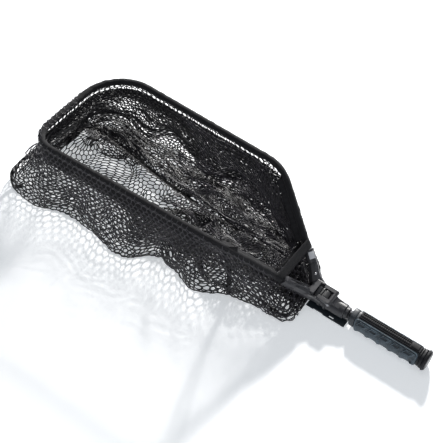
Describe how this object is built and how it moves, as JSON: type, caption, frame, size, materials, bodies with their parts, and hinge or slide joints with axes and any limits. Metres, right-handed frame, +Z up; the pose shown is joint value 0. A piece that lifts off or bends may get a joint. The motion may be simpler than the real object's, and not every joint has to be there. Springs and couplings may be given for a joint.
{
  "type": "landing net",
  "caption": "Folding landing net: raised hoop with a deep mesh bag, a Y hub with a fold hinge, latch and lock ring, and a short rubber grip that slides out.",
  "frame": {"origin": "centre of the bounding box, on the surface that the bag and the butt of the handle stand on", "axes": "+Z up, +X along the handle towards its butt, the hoop reaches towards -X, Y across the hoop"},
  "size_m": [0.9677, 0.3028, 0.1957],
  "materials": {
    "rim_tube": "satin anodised tube",
    "sleeve_fabric": "matte woven sleeve",
    "webbing": "matte woven webbing",
    "netting": "matte coated twine",
    "hub_plastic": "fine satin moulded nylon",
    "dark_plastic": "satin",
    "steel": "satin",
    "grip_black": "matte",
    "grip_rubber": "matte",
    "clip_plastic": "satin",
    "cap_rim": "satin"
  },
  "bodies": {
    "head": {"rim_tube_far": "rim_tube", "rim_tube_near": "rim_tube", "rim_tube_front": "rim_tube", "rim_sleeve_far": "sleeve_fabric", "rim_sleeve_near": "sleeve_fabric", "rim_sleeve_front": "sleeve_fabric", "collar_band": "webbing", "v_strap": "webbing", "net_wall": "netting", "net_floor": "netting", "hub_body": "hub_plastic", "arm_socket_far": "hub_plastic", "arm_socket_near": "hub_plastic", "brace_rod_far": "hub_plastic", "brace_rod_near": "hub_plastic", "brace_sleeve_far": "hub_plastic", "brace_sleeve_near": "hub_plastic", "hub_screw_far": "steel", "hub_screw_near": "steel", "hinge_pin": "steel", "latch_pin": "steel"},
    "latch": {"latch_lever": "hub_plastic"},
    "ring": {"lock_ring": "dark_plastic"},
    "handle": {"pole_socket": "hub_plastic", "socket_end_collar": "hub_plastic", "belt_clip": "clip_plastic"},
    "grip": {"inner_pole": "rim_tube", "neck_ferrule": "steel", "grip_core": "grip_black", "grip_panel_far": "grip_rubber", "grip_panel_near": "grip_rubber", "grip_top_strip": "grip_black", "grip_underside": "grip_rubber", "end_cap": "grip_black", "end_cap_disc": "cap_rim"}
  },
  "joints": [
    {"name": "head_fold", "type": "hinge", "parent": "head", "child": "handle", "pos_m": [0.267, 0, 0.0407], "axis": [0, -1, 0], "range_deg": [0, 95]},
    {"name": "latch_release", "type": "hinge", "parent": "head", "child": "latch", "pos_m": [0.2365, 0.006, 0.0435], "axis": [-1, 0, 0], "range_deg": [0, 50], "stiffness_Nm_per_rad": 0.02},
    {"name": "ring_twist", "type": "hinge", "parent": "head", "child": "ring", "pos_m": [0.245, 0, 0.022], "axis": [1, 0, 0], "range_deg": [0, 45]},
    {"name": "pole_slide", "type": "slide", "parent": "handle", "child": "grip", "axis": [1, 0, 0], "range_m": [0, 0.03]}
  ]
}
